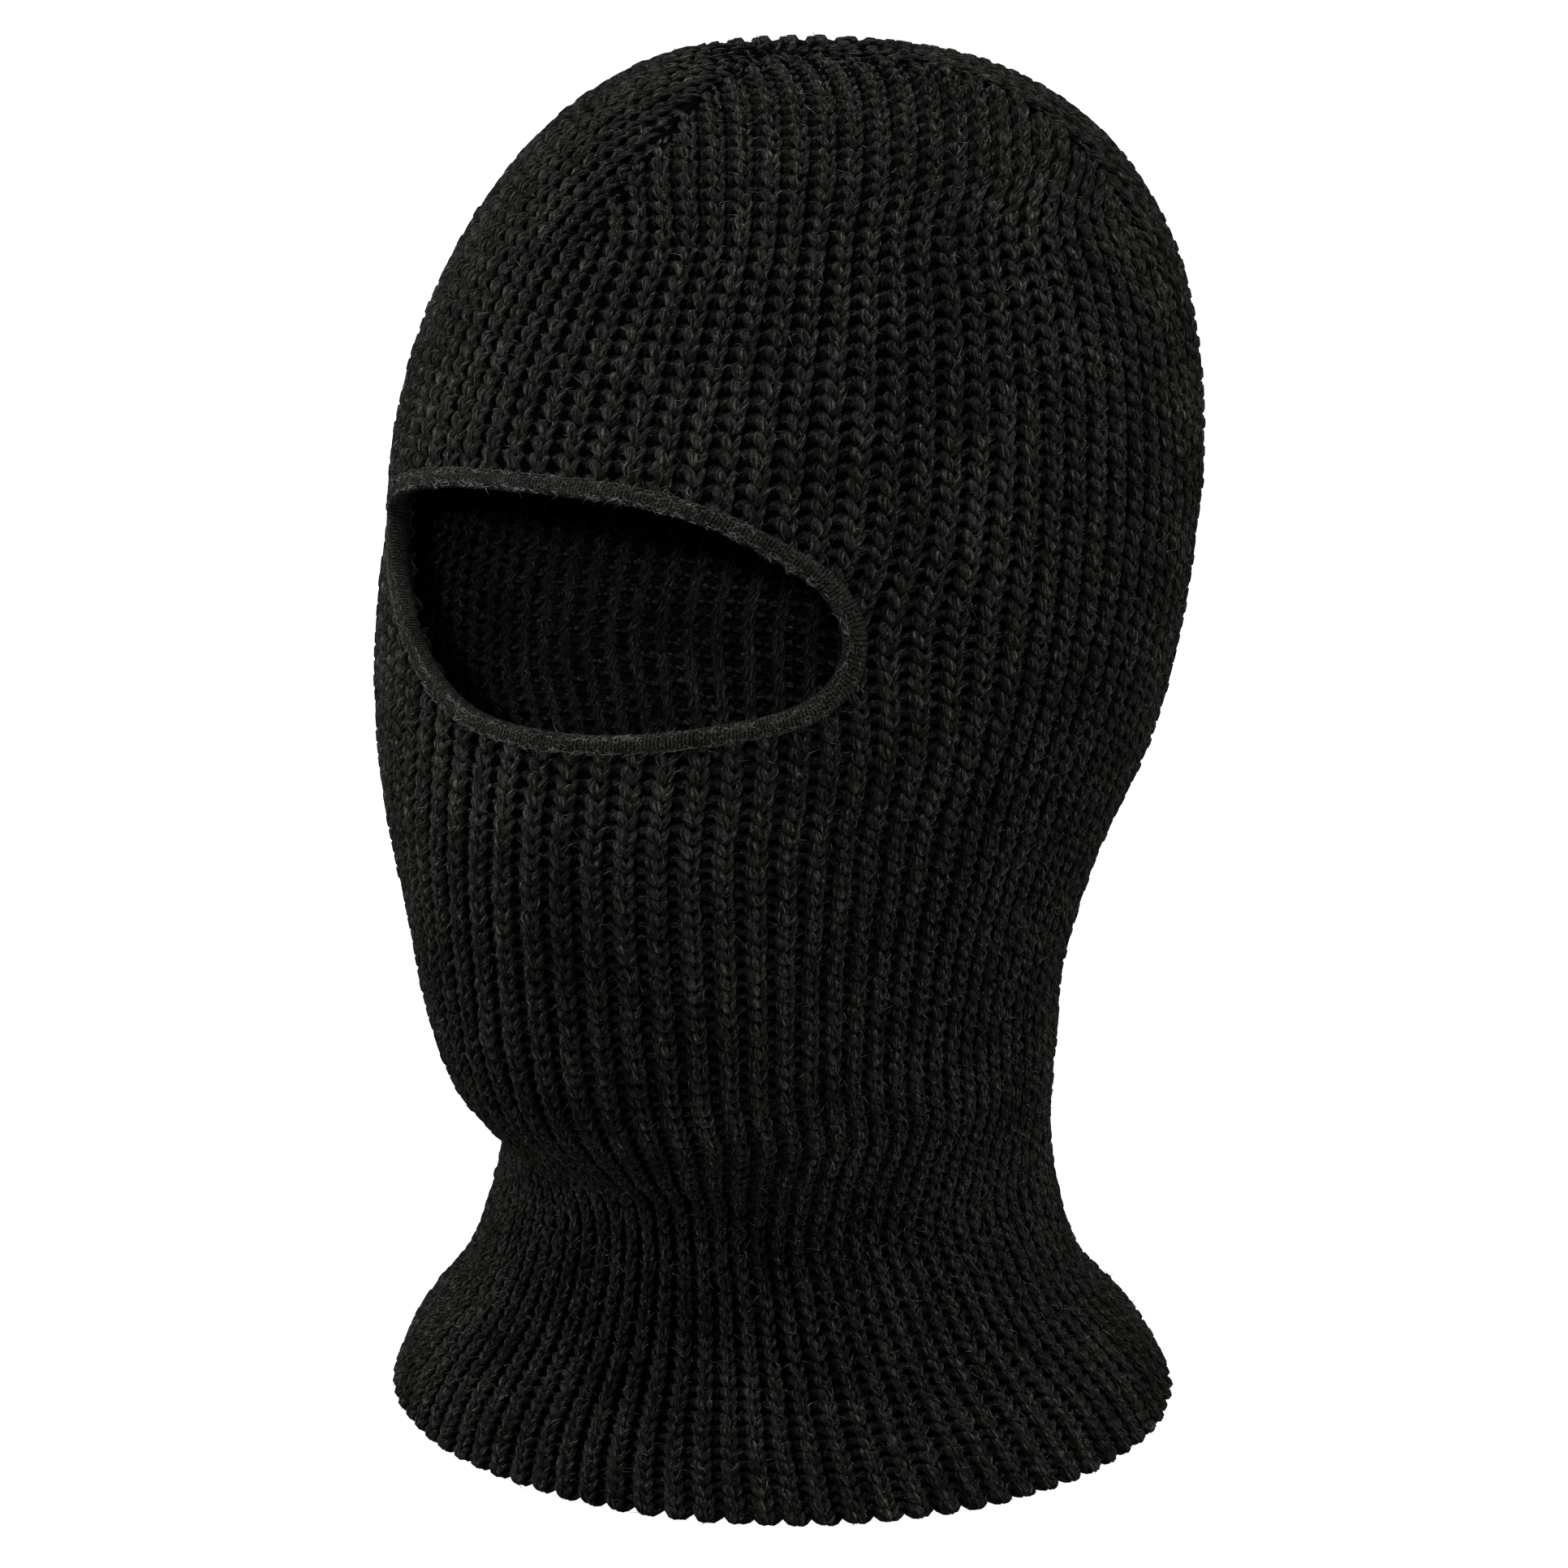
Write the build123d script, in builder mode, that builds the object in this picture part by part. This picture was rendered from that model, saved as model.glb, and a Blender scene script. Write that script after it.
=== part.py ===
"""Balaclava: a chunky rib-knit pull-on hood with one eye opening bound in knit tape.

The origin is on the plane of the hem, under the middle of the hood. +Z is up, the face
looks along -Y, and +X is the wearer's left. Sizes are millimetres, with the hood filled out
as it is when worn.
"""

import os
from math import cos, hypot, pi, sin, sqrt

from build123d import *

# The hood's outer form
height = 297.0
crown_start = 202.0  # the widest level, where the wall starts to close over the head
crown_levels = 12
level_step = 7.0  # about how far apart the form's levels are below the crown
points_round = 16
front_crown_power = 1.6  # 2 is an ellipse, more is boxier
back_crown_power = 2.6
side_crown_power = 2.4
crown_cap_rise = 0.995  # where the crown ends in a small flat

# Levels below the crown: height, reach to the front, reach to the back, half width, and how
# much wider the back half is than the face half
levels = [
    (0.0, 84.5, 86.0, 88.0, 0.00),  # hem
    (14.0, 81.0, 77.0, 81.5, 0.02),
    (30.0, 70.5, 64.0, 69.0, 0.01),
    (48.0, 65.0, 58.5, 62.5, 0.02),
    (62.0, 67.0, 57.0, 60.0, 0.06),  # neck
    (72.0, 79.0, 57.0, 61.0, 0.10),
    (84.0, 92.0, 58.5, 62.5, 0.12),  # chin
    (100.0, 100.0, 62.5, 64.0, 0.10),
    (122.0, 103.5, 75.0, 68.5, 0.07),  # mouth
    (148.0, 104.5, 87.5, 77.5, 0.07),
    (172.0, 100.0, 93.5, 82.5, 0.06),  # cheekbones
    (crown_start, 95.5, 104.5, 82.5, 0.06),  # brow
]

# Fabric and seams
wall = 4.5
seam_width = 3.2
seam_ridge = 1.7
seam_hem_gap = 1.0
crown_seam_depth = 20.0  # how far below the top the three crown seams begin
tack_radius = 5.0

# Eye opening, measured on the front view
eye_outline = [  # x and z of the binding's inner edge, as a closed curve
    (8.0, 220.0),
    (32.0, 215.5),
    (49.0, 204.0),
    (55.0, 191.0),
    (50.5, 180.5),
    (34.0, 176.0),
    (8.0, 173.5),
    (-18.0, 175.5),
    (-34.0, 186.0),
    (-45.0, 201.0),
    (-44.0, 211.5),
    (-22.0, 217.5),
]
eye_centre = (5.0, 196.0)
eye_cut_start = 40.0  # how far in front of the origin the cut through the face begins
eye_cut_depth = 110.0
tape_width = 4.2
tape_proud = 1.2
tape_fold = 1.4
thread_proud = 0.5
thread_width = 0.7
thread_inset = 0.8
tape_clearance = 0.05  # between the tape and the knit inside its fold

seams = {  # turn from the middle of the face towards the wearer's left, and lowest height
    "back_seam": (180.0, seam_hem_gap),
    "front_crown_seam": (-10.0, height - crown_seam_depth),
    "left_crown_seam": (103.0, height - crown_seam_depth),
    "right_crown_seam": (257.0, height - crown_seam_depth),
}

# Care label on the inside of the back
label_width = 28.0
label_length = 38.0
label_bottom = 18.0
label_gap = 1.0
label_thickness = 0.6
label_stitch_width = 1.0
label_stitch_inset = 2.0

reach = 2 * height  # longer than the hood in any direction


def level_points(front, back, half_width, egg):
    """Points round one level, starting at the middle of the face."""
    points = []
    for index in range(points_round):
        turn = 2 * pi * index / points_round
        x = half_width * sin(turn) * (1 - egg * cos(turn))
        y = (back - front) / 2 - (front + back) / 2 * cos(turn)
        points.append((x, y))
    return points


def crown_share(power, rise):
    """How much of a reach is left at a share of the rise through the crown."""
    return (1 - rise**power) ** (1 / power)


def smooth_between(low, high, low_slope, high_slope, share):
    """Cubic from low to high that leaves and arrives with the given slopes."""
    return (
        low * (1 + 2 * share) * (1 - share) ** 2
        + high * share**2 * (3 - 2 * share)
        + low_slope * share * (1 - share) ** 2
        - high_slope * share**2 * (1 - share)
    )


def slope_at(index, column):
    """Change of a column per millimetre of height, at one of the levels."""
    before, after = max(index - 1, 0), min(index + 1, len(levels) - 1)
    rise = levels[after][0] - levels[before][0]
    return (levels[after][column] - levels[before][column]) / rise


def body_levels():
    """The levels with smooth ones between them, up to the start of the crown."""
    found = []
    for index, (low, high) in enumerate(zip(levels, levels[1:])):
        rise = high[0] - low[0]
        steps = round(rise / level_step)
        for step in range(steps):
            share = step / steps
            sizes = [
                smooth_between(
                    low[column],
                    high[column],
                    slope_at(index, column) * rise,
                    slope_at(index + 1, column) * rise,
                    share,
                )
                for column in range(1, 5)
            ]
            found.append((low[0] + rise * share, *sizes))
    return found + [levels[-1]]


def form_levels(inset):
    """Every level of the form moved in by inset: height, front, back, half width, egg."""
    found = [(z, f - inset, b - inset, w - inset, egg) for z, f, b, w, egg in body_levels()]
    _, front, back, side, egg = found[-1]
    rise_height = height - inset - crown_start
    for index in range(1, crown_levels + 1):
        rise = crown_cap_rise * sin(pi / 2 * index / crown_levels)
        found.append(
            (
                crown_start + rise_height * rise,
                front * crown_share(front_crown_power, rise),
                back * crown_share(back_crown_power, rise),
                side * crown_share(side_crown_power, rise),
                egg * sqrt(1 - rise),
            )
        )
    return found


def form(inset):
    """Solid inside the hood's outer surface moved in by inset."""
    with BuildPart() as body:
        for z, front, back, half_width, egg in form_levels(inset):
            with BuildSketch(Plane.XY.offset(z)):
                with BuildLine():
                    Spline(level_points(front, back, half_width, egg), periodic=True)
                make_face()
        loft(ruled=True)
    return body.part


def eye_prism(grow):
    """Block through the face wall with the eye outline moved out by an amount."""
    centre_x, centre_z = eye_centre
    points = []
    for x, z in eye_outline:
        share = 1 + grow / hypot(x - centre_x, z - centre_z)
        points.append((centre_x + (x - centre_x) * share, centre_z + (z - centre_z) * share))
    with BuildPart() as prism:
        with BuildSketch(Plane.XZ.offset(eye_cut_start)):
            with BuildLine():
                Spline(points, periodic=True)
            make_face()
        extrude(amount=eye_cut_depth)
    return prism.part


def slab(x_range, y_range, z_range):
    """Block between the given limits along each axis."""
    sizes = [high - low for low, high in (x_range, y_range, z_range)]
    centre = [(low + high) / 2 for low, high in (x_range, y_range, z_range)]
    with BuildPart() as block:
        with Locations(tuple(centre)):
            Box(*sizes)
    return block.part


def seam_ridge_piece(turn, low):
    """Ridge along the inside of a seam, from a height up to the crown tack."""
    with BuildPart() as ridge:
        with Locations(Location((0, 0, low + reach / 2), (0, 0, turn))):
            with Locations((0, -reach / 2, 0)):
                Box(seam_width, reach, reach)
        add(inner_face, clean=False, mode=Mode.INTERSECT)
        add(ridge_face, clean=False, mode=Mode.SUBTRACT)
        add(tack_core, clean=False, mode=Mode.SUBTRACT)
    return ridge


surface = form(0.0)
inner_face = form(wall)
ridge_face = form(wall + seam_ridge)
tape_outer_face = form(-tape_proud)
tape_inner_face = form(wall + tape_proud)
thread_outer_face = form(-tape_proud - thread_proud)
label_face = form(wall + label_thickness)

tape_fold_channel = (
    form(-tape_clearance) - form(wall + tape_clearance) - eye_prism(tape_fold - tape_clearance)
)

opening = eye_prism(0.0)
fabric_edge = eye_prism(tape_fold)
tape_edge = eye_prism(tape_width)
thread_outer_edge = eye_prism(tape_width - thread_inset)
thread_inner_edge = eye_prism(tape_width - thread_inset - thread_width)

with BuildPart() as tack_core_block:
    with BuildSketch(Plane.XY.offset(crown_start)):
        Circle(tack_radius)
    extrude(amount=reach)
tack_core = tack_core_block.part

with BuildPart() as hood_panel:
    add(surface, clean=False)
    add(inner_face, clean=False, mode=Mode.SUBTRACT)
    add(fabric_edge, clean=False, mode=Mode.SUBTRACT)

with BuildPart() as eye_binding:
    add(tape_outer_face, clean=False)
    add(tape_inner_face, clean=False, mode=Mode.SUBTRACT)
    add(tape_edge, clean=False, mode=Mode.INTERSECT)
    add(opening, clean=False, mode=Mode.SUBTRACT)
    add(tape_fold_channel, clean=False, mode=Mode.SUBTRACT)

with BuildPart() as binding_outer_thread:
    add(thread_outer_face, clean=False)
    add(tape_outer_face, clean=False, mode=Mode.SUBTRACT)
    add(thread_outer_edge, clean=False, mode=Mode.INTERSECT)
    add(thread_inner_edge, clean=False, mode=Mode.SUBTRACT)

with BuildPart() as binding_inner_thread:
    add(tape_inner_face, clean=False)
    add(ridge_face, clean=False, mode=Mode.SUBTRACT)
    add(thread_outer_edge, clean=False, mode=Mode.INTERSECT)
    add(thread_inner_edge, clean=False, mode=Mode.SUBTRACT)

with BuildPart() as crown_tack:
    add(inner_face, clean=False)
    add(tack_core, clean=False, mode=Mode.INTERSECT)
    add(ridge_face, clean=False, mode=Mode.SUBTRACT)

label_low_x = seam_width / 2 + label_gap
label_top = label_bottom + label_length
label_slab = slab(
    (label_low_x, label_low_x + label_width), (0, reach), (label_bottom, label_top)
)
label_stitch_top = label_top - label_stitch_inset
label_stitch_slab = slab(
    (label_low_x + label_stitch_inset, label_low_x + label_width - label_stitch_inset),
    (0, reach),
    (label_stitch_top - label_stitch_width, label_stitch_top),
)

with BuildPart() as care_label:
    add(inner_face, clean=False)
    add(label_slab, clean=False, mode=Mode.INTERSECT)
    add(label_face, clean=False, mode=Mode.SUBTRACT)

with BuildPart() as label_stitch:
    add(label_face, clean=False)
    add(label_stitch_slab, clean=False, mode=Mode.INTERSECT)
    add(tape_inner_face, clean=False, mode=Mode.SUBTRACT)

pieces = {
    "hood_panel": hood_panel,
    "eye_binding": eye_binding,
    "binding_outer_thread": binding_outer_thread,
    "binding_inner_thread": binding_inner_thread,
    "crown_tack": crown_tack,
    "care_label": care_label,
    "label_stitch": label_stitch,
}
for name, (turn, low) in seams.items():
    pieces[name] = seam_ridge_piece(turn, low)
os.makedirs("parts", exist_ok=True)
for name, piece in pieces.items():
    piece.part.label = name
    export_step(piece.part, f"parts/{name}.step")
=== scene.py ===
from math import cos, pi, radians, sin

import bpy
import numpy as np
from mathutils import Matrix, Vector


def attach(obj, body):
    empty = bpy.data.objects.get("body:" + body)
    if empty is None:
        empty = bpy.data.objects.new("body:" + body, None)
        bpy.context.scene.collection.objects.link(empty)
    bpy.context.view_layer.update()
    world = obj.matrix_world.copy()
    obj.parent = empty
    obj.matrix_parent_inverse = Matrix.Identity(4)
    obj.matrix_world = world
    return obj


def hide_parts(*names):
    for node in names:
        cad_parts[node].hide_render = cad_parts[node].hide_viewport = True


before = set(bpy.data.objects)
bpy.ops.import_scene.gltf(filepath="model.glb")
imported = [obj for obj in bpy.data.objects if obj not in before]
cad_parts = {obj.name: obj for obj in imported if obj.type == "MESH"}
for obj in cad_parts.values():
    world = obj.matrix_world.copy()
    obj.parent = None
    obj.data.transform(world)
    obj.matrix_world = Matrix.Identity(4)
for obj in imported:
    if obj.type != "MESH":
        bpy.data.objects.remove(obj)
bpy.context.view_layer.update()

# Every size below is in millimetres until a mesh is made, and a mesh is in metres.
MM = 0.001
rng = np.random.default_rng(20261116)

# The hood's outer form, as in the CAD model: height, reach to the front, reach to the back,
# half width, and how much wider the back half is than the face half.
LEVELS = np.array([
    (0.0, 84.5, 86.0, 88.0, 0.00),  # hem
    (14.0, 81.0, 77.0, 81.5, 0.02),
    (30.0, 70.5, 64.0, 69.0, 0.01),
    (48.0, 65.0, 58.5, 62.5, 0.02),
    (62.0, 67.0, 57.0, 60.0, 0.06),  # neck
    (72.0, 79.0, 57.0, 61.0, 0.10),
    (84.0, 92.0, 58.5, 62.5, 0.12),  # chin
    (100.0, 100.0, 62.5, 64.0, 0.10),
    (122.0, 103.5, 75.0, 68.5, 0.07),  # mouth
    (148.0, 104.5, 87.5, 77.5, 0.07),
    (172.0, 100.0, 93.5, 82.5, 0.06),  # cheekbones
    (202.0, 95.5, 104.5, 82.5, 0.06),  # brow
])
CROWN_START = LEVELS[-1][0]
HEIGHT = 297.0
CROWN_POWERS = (1.6, 2.6, 2.4)  # front, back, sides
WALL = 4.5

# The knit: ribs round the hood, courses up it
RIBS = 80
KNIT_SHARE = 0.60  # of a rib's pitch, the rest is the valley
DART_START = 1.42  # where the crown is cut into four gores, on the scale of form_sizes below
GORE_BLEND = 0.16  # rise over which the ribs turn to run along their gore
SEAM_START = 1.58  # where the ridge inside each crown seam begins
BACK_SEAM_START = 0.03
SEAM_TURNS = np.radians((-10.0, 103.0, 180.0, 257.0, 350.0))  # front, left, back, right, front
GORE_RUNS = np.radians((34.0, 141.0, 219.0, 320.0))  # the turn that a gore's ribs run along
COURSE_HEIGHTS = [  # height on the hood, height of one course
    (0.0, 2.75),
    (60.0, 2.85),
    (95.0, 3.1),
    (150.0, 3.2),
    (185.0, 3.6),
    (297.0, 3.75),
]
SIDE_COURSES = 0.30  # how much closer the courses stand at the sides of the head
BACK_COURSES = 0.32  # how much further apart at its back
HEAD_MIDDLE = 185.0  # the height where that is so, and how far up and down it reaches
HEAD_REACH = 50.0
CROWDING = [  # height, how much closer the ribs stand at the front, and at the sides
    (0.0, 0.02, 0.0),
    (30.0, 0.08, 0.0),
    (56.0, 0.20, 0.0),
    (68.0, 0.08, 0.04),
    (80.0, -0.06, 0.10),
    (105.0, -0.04, 0.12),
    (150.0, 0.09, 0.08),
    (190.0, 0.02, -0.02),
    (230.0, 0.03, 0.0),
]

# Eye opening on the front view, as in the CAD model but pulled a little to the right cheek
EYE_OUTLINE = np.array([
    (8.0, 220.0),
    (32.0, 215.5),
    (49.0, 204.0),
    (55.0, 191.0),
    (50.5, 180.5),
    (34.0, 176.0),
    (8.0, 173.5),
    (-18.0, 175.5),
    (-36.5, 185.0),
    (-50.0, 199.0),
    (-51.0, 209.0),
    (-27.0, 217.5),
])
EYE_CENTRE = np.array((5.0, 196.0))
TAPE_FOLD = 1.4  # how much of the knit the fold of the tape takes up
CORNER_TURN = 0.86  # just beside the outer corner, in radians from the middle of the face
CORNER_HEIGHT = 191.0
CORNER_PULL = 0.05


# ---------------------------------------------------------------- the form as a surface


def bell(offset, width):
    """1 where the offset is 0, and smoothly less towards a few widths from it."""
    return np.exp(-((offset / width) ** 2))


def smooth_table(table, at):
    """Values of a two-column table at the given places, with rounded corners."""
    places, values = np.array(table).T
    fine = np.linspace(places[0], places[-1], 400)
    reach = 12
    window = np.hanning(2 * reach + 1)
    padded = np.pad(np.interp(fine, places, values), reach, mode="edge")
    return np.interp(at, fine, np.convolve(padded, window / window.sum(), mode="valid"))


def level_sizes(z):
    """Front, back, half width and egg at heights below the crown, one row each."""
    heights = LEVELS[:, 0]
    low = np.clip(np.searchsorted(heights, z, side="right") - 1, 0, len(heights) - 2)
    before = np.clip(np.arange(len(heights)) - 1, 0, None)
    after = np.clip(np.arange(len(heights)) + 1, None, len(heights) - 1)
    slopes = (LEVELS[after] - LEVELS[before]) / (heights[after] - heights[before])[:, None]
    rise = heights[low + 1] - heights[low]
    share = ((z - heights[low]) / rise)[:, None]
    rise = rise[:, None]
    sizes = (
        LEVELS[low] * (1 + 2 * share) * (1 - share) ** 2
        + LEVELS[low + 1] * share**2 * (3 - 2 * share)
        + slopes[low] * rise * share * (1 - share) ** 2
        - slopes[low + 1] * rise * share**2 * (1 - share)
    )
    return sizes[:, 1:].T


def form_sizes(rise):
    """Height, front, back, half width and egg where rise is 0 at the hem, 1 at the start of
    the crown and 2 at its top."""
    low = rise <= 1
    z = np.where(low, rise * CROWN_START, 0.0)
    sizes = level_sizes(np.clip(z, 0, CROWN_START))
    share = np.clip(np.sin(np.clip(rise - 1, 0, 1) * pi / 2), 0, 1)
    front, back, side = ((1 - share**power) ** (1 / power) for power in CROWN_POWERS)
    shrink = np.array([front, back, side, np.sqrt(1 - share)])
    z = np.where(low, z, CROWN_START + (HEIGHT - CROWN_START) * share)
    return z, np.where(low, sizes, LEVELS[-1, 1:, None] * shrink)


RISE_GRID = np.concatenate([np.linspace(0, 1, 300), np.linspace(1, 2, 200)[1:]])
TURN_GRID = np.linspace(0, 2 * pi, 721)  # 0 is the middle of the face, a quarter is +X


def form_grids():
    """Points and outward normals of the form, rows by rise and columns by turn."""
    z, (front, back, side, egg) = form_sizes(RISE_GRID)
    across, along = np.sin(TURN_GRID), np.cos(TURN_GRID)
    points = np.stack([
        side[:, None] * across * (1 - egg[:, None] * along),
        ((back - front) / 2)[:, None] - ((front + back) / 2)[:, None] * along,
        np.repeat(z[:, None], len(TURN_GRID), axis=1),
    ], axis=-1)
    up = np.gradient(points, axis=0)
    around = np.roll(points[:, :-1], -1, axis=1) - np.roll(points[:, :-1], 1, axis=1)
    around = np.concatenate([around, around[:, :1]], axis=1)
    normals = np.cross(around, up)
    length = np.linalg.norm(normals, axis=-1, keepdims=True)
    normals = np.where(length > 1e-6, normals / np.maximum(length, 1e-6), (0.0, 0.0, 1.0))
    normals[-1] = (0.0, 0.0, 1.0)
    return points, normals


POINTS, NORMALS = form_grids()


def grid_row(rise):
    """Fractional row of the form's grids."""
    return np.interp(rise, RISE_GRID, np.arange(len(RISE_GRID)))


def grid_column(turn):
    """Fractional column of the form's grids."""
    return (turn % (2 * pi)) / (2 * pi) * (len(TURN_GRID) - 1)


def between_cells(grid, row, column):
    """Grid values at fractional rows and columns."""
    row = np.clip(row, 0, grid.shape[0] - 1.0001)
    column = np.clip(column, 0, grid.shape[1] - 1.0001)
    r, c = row.astype(int), column.astype(int)
    dr, dc = row - r, column - c
    if grid.ndim == 3:
        dr, dc = dr[..., None], dc[..., None]
    return (
        grid[r, c] * (1 - dr) * (1 - dc)
        + grid[r + 1, c] * dr * (1 - dc)
        + grid[r, c + 1] * (1 - dr) * dc
        + grid[r + 1, c + 1] * dr * dc
    )


def sample(grid, rise, turn):
    """Grid values at fractional places, between the four grid points around each."""
    return between_cells(grid, grid_row(rise), grid_column(turn))


def surface(rise, turn):
    """Points of the form and its outward normals at the given places."""
    return sample(POINTS, rise, turn), normalised(sample(NORMALS, rise, turn))


# ------------------------------------------------------------- ribs and courses on the form


def course_grid():
    """Course number over the form, and how many courses there are."""
    steps = np.linalg.norm(np.diff(POINTS, axis=0), axis=-1)
    z = POINTS[:, 0, 2]
    middle = (z[1:] + z[:-1]) / 2
    course_height = smooth_table(COURSE_HEIGHTS, middle)
    beside = np.sin(TURN_GRID) ** 2
    behind = (0.5 - 0.5 * np.cos(TURN_GRID)) ** 2 * (1 - beside)
    head = bell(middle - HEAD_MIDDLE, HEAD_REACH)[:, None]
    closer = 1 + head * (SIDE_COURSES * beside - BACK_COURSES * behind)
    number = np.concatenate([
        np.zeros((1, steps.shape[1])),
        np.cumsum(steps * closer / course_height[:, None], axis=0),
    ])
    total = round(float(number[-1].mean()))
    number *= total / number[-1]
    level = number.mean(axis=1, keepdims=True)
    return 0.5 * number + 0.5 * level, total


def rib_grid():
    """Rib number over the form, from 0 at the middle of the face right round to RIBS."""
    steps = np.linalg.norm(np.diff(POINTS, axis=1), axis=-1)
    z = np.clip(POINTS[:, 0, 2], 0, 230)
    front = smooth_table([(row[0], row[1]) for row in CROWDING], z)[:, None]
    sides = smooth_table([(row[0], row[2]) for row in CROWDING], z)[:, None]
    middle = (TURN_GRID[1:] + TURN_GRID[:-1]) / 2
    weight = 1 + front * np.cos(middle) - sides * np.cos(2 * middle)
    number = np.concatenate([np.zeros((len(steps), 1)), np.cumsum(steps * weight, 1)], axis=1)
    number[-1] = number[-2]
    return number * RIBS / number[:, -1:]


COURSE_NUMBER, COURSES = course_grid()
RIB_NUMBER = rib_grid()
COURSE_CELLS = 4  # per course, in the inverse grid
RIB_CELLS = 8
RISE_OF_COURSE = np.stack([
    np.interp(np.linspace(0, COURSES, COURSES * COURSE_CELLS + 1), column, RISE_GRID)
    for column in COURSE_NUMBER.T
], axis=1)
TURN_OF_RIB = np.stack([
    np.interp(np.linspace(0, RIBS, RIBS * RIB_CELLS + 1), row, TURN_GRID) for row in RIB_NUMBER
])


def dart_turn(rib):
    """Turn of a rib at the height where the crown seams begin."""
    row = np.full_like(rib, grid_row(DART_START))
    return between_cells(TURN_OF_RIB, row, rib * RIB_CELLS)


def crown_turn(rib, rise, turn):
    """Turn of a rib on the crown, where the ribs of a gore run side by side to its seams, and
    how far past the seam it is, as a share of half the gore."""
    start = dart_turn(rib)
    start = np.where(start > SEAM_TURNS[-1], start - 2 * pi, start)
    gore = np.clip(np.searchsorted(SEAM_TURNS, start, side="right") - 1, 0, 3)
    low, high, run = SEAM_TURNS[gore], SEAM_TURNS[gore + 1], GORE_RUNS[gore]
    _, (front, back, side, _) = form_sizes(RISE_GRID)
    radius = np.sqrt(side * (front + back) / 2)
    dart_radius = np.interp(DART_START, RISE_GRID, radius)
    shrink = dart_radius / np.maximum(np.interp(rise, RISE_GRID, radius), 0.5)
    parallel = run + np.arcsin(np.clip(np.sin(start - run) * shrink, -1, 1))
    blend = np.clip((rise - DART_START) / GORE_BLEND, 0, 1)
    blend = blend * blend * (3 - 2 * blend)
    offset = (parallel - turn + pi) % (2 * pi) - pi
    moved = turn + offset * blend
    from_run = (moved - run + pi) % (2 * pi) - pi
    past = np.maximum(low - run - from_run, from_run - (high - run)) / (high - low) * 2
    past = np.where(rise > DART_START, past, -1.0)
    return moved, past


def place_on_form(rib, course):
    """Rise and turn of fabric places, and how far past a crown seam they are."""
    turn = rib / RIBS * 2 * pi
    for _ in range(3):
        rise = between_cells(RISE_OF_COURSE, course * COURSE_CELLS, grid_column(turn))
        turn = between_cells(TURN_OF_RIB, grid_row(rise), (rib % RIBS) * RIB_CELLS)
        turn, past = crown_turn(rib % RIBS, rise, turn)
    return rise, corner_pull(rise, turn), past


def corner_pull(rise, turn):
    """Turn of the fabric where the outer corner of the eye opening draws the ribs to it."""
    beside = bell(turn - CORNER_TURN, 0.30)
    level = bell(rise * CROWN_START - CORNER_HEIGHT, 17.0)
    return turn - CORNER_PULL * beside * level


def eye_curve(count, grow=0.0):
    """Points of the eye outline on the front view, by a closed smooth curve."""
    size = len(EYE_OUTLINE)
    at = np.arange(count) / count * size
    index = at.astype(int)
    share = (at - index)[:, None]
    a, b, c, d = (EYE_OUTLINE[(index + shift) % size] for shift in (-1, 0, 1, 2))
    points = 0.5 * (
        2 * b
        + (c - a) * share
        + (2 * a - 5 * b + 4 * c - d) * share**2
        + (3 * b - a - 3 * c + d) * share**3
    )
    away = points - EYE_CENTRE
    return points + away / np.linalg.norm(away, axis=1, keepdims=True) * grow


def eye_distance(points):
    """How far outside the eye outline points of the form are, on the front view."""
    outline = eye_curve(720) - EYE_CENTRE
    angle = np.arctan2(outline[:, 1], outline[:, 0])
    order = np.argsort(angle)
    place = points[..., (0, 2)] - EYE_CENTRE
    reach = np.interp(
        np.arctan2(place[..., 1], place[..., 0]),
        angle[order],
        np.linalg.norm(outline, axis=1)[order],
        period=2 * pi,
    )
    distance = np.linalg.norm(place, axis=-1) - reach
    return np.where(points[..., 1] < 0, distance, 99.0)


# ------------------------------------------------------------------------- mesh helpers

TUBE_SIDES = 6


def new_mesh(name, points, faces, uvs=None):
    """A smooth mesh object from points in millimetres and faces given as an array."""
    faces = np.asarray(faces)
    sides = faces.shape[1]
    mesh = bpy.data.meshes.new(name)
    mesh.vertices.add(len(points))
    mesh.vertices.foreach_set("co", (np.asarray(points) * MM).astype(np.float32).ravel())
    mesh.loops.add(faces.size)
    mesh.loops.foreach_set("vertex_index", faces.astype(np.int32).ravel())
    mesh.polygons.add(len(faces))
    starts = np.arange(0, faces.size, sides, dtype=np.int32)
    mesh.polygons.foreach_set("loop_start", starts)
    if uvs is not None:
        layer = mesh.uv_layers.new(name="OFBake")
        layer.data.foreach_set("uv", np.asarray(uvs, dtype=np.float32).ravel())
    mesh.update(calc_edges=True)
    mesh.validate()
    mesh.polygons.foreach_set("use_smooth", np.ones(len(mesh.polygons), dtype=bool))
    piece = bpy.data.objects.new(name, mesh)
    bpy.context.scene.collection.objects.link(piece)
    return piece


def normalised(vectors):
    """Vectors scaled to length one."""
    return vectors / np.maximum(np.linalg.norm(vectors, axis=-1, keepdims=True), 1e-9)


def ring_points(centres, normals, radius, flatten=1.0):
    """Rings of points round tubes whose centres run along axis 1."""
    tangent = normalised(np.gradient(centres, axis=1))
    across = normalised(np.cross(tangent, normals))
    out = np.cross(across, tangent)
    angle = np.arange(TUBE_SIDES) / TUBE_SIDES * 2 * pi
    radius = np.broadcast_to(radius, centres.shape[:2])[..., None, None]
    return (
        centres[:, :, None]
        + across[:, :, None] * np.cos(angle)[:, None] * radius
        + out[:, :, None] * np.sin(angle)[:, None] * radius * flatten
    )


def first_points(keep, row, ring):
    """Number of each ring's first point, in a column."""
    return (row * (keep.shape[1] + 1) + ring)[:, None] * TUBE_SIDES


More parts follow.
